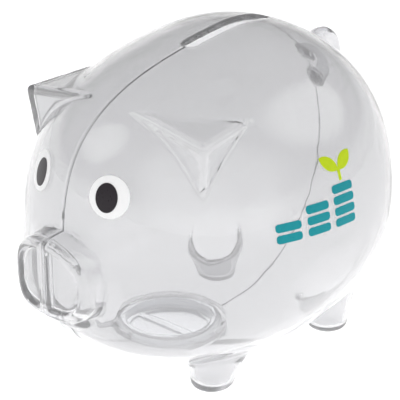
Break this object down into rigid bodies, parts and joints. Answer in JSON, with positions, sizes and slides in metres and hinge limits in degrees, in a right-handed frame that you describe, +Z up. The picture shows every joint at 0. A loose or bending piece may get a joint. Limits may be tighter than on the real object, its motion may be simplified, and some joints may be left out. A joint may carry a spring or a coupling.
{
  "type": "piggy bank",
  "caption": "Clear plastic pig-shaped coin bank in two bonded halves, with a slot in the back, four legs, a round pull-out belly stopper and printed eyes.",
  "frame": {"origin": "middle of the bank's bounding box at the level of its feet, on the seam plane", "axes": "+Z up, the pig faces -Y, its left side is +X, and the seam lies in the plane X = 0"},
  "size_m": [0.108, 0.1303, 0.1027],
  "materials": {
    "clear_plastic": "polished clear polystyrene",
    "stopper_plastic": "clear soft plastic, lightly frosted",
    "white_ink": "pad-printed gloss ink",
    "black_ink": "pad-printed gloss ink",
    "teal_ink": "pad-printed gloss ink",
    "lime_ink": "pad-printed gloss ink"
  },
  "bodies": {
    "shell": {"left_shell": "clear_plastic", "right_shell": "clear_plastic", "left_eye_white": "white_ink", "left_eye_pupil": "black_ink", "right_eye_white": "white_ink", "right_eye_pupil": "black_ink", "flank_print_coins": "teal_ink", "flank_print_seedling": "lime_ink"},
    "stopper": {"belly_stopper": "stopper_plastic"}
  },
  "joints": [
    {"name": "stopper_pull", "type": "slide", "parent": "shell", "child": "stopper", "axis": [0, 0, -1], "range_m": [0, 0.0065]}
  ]
}
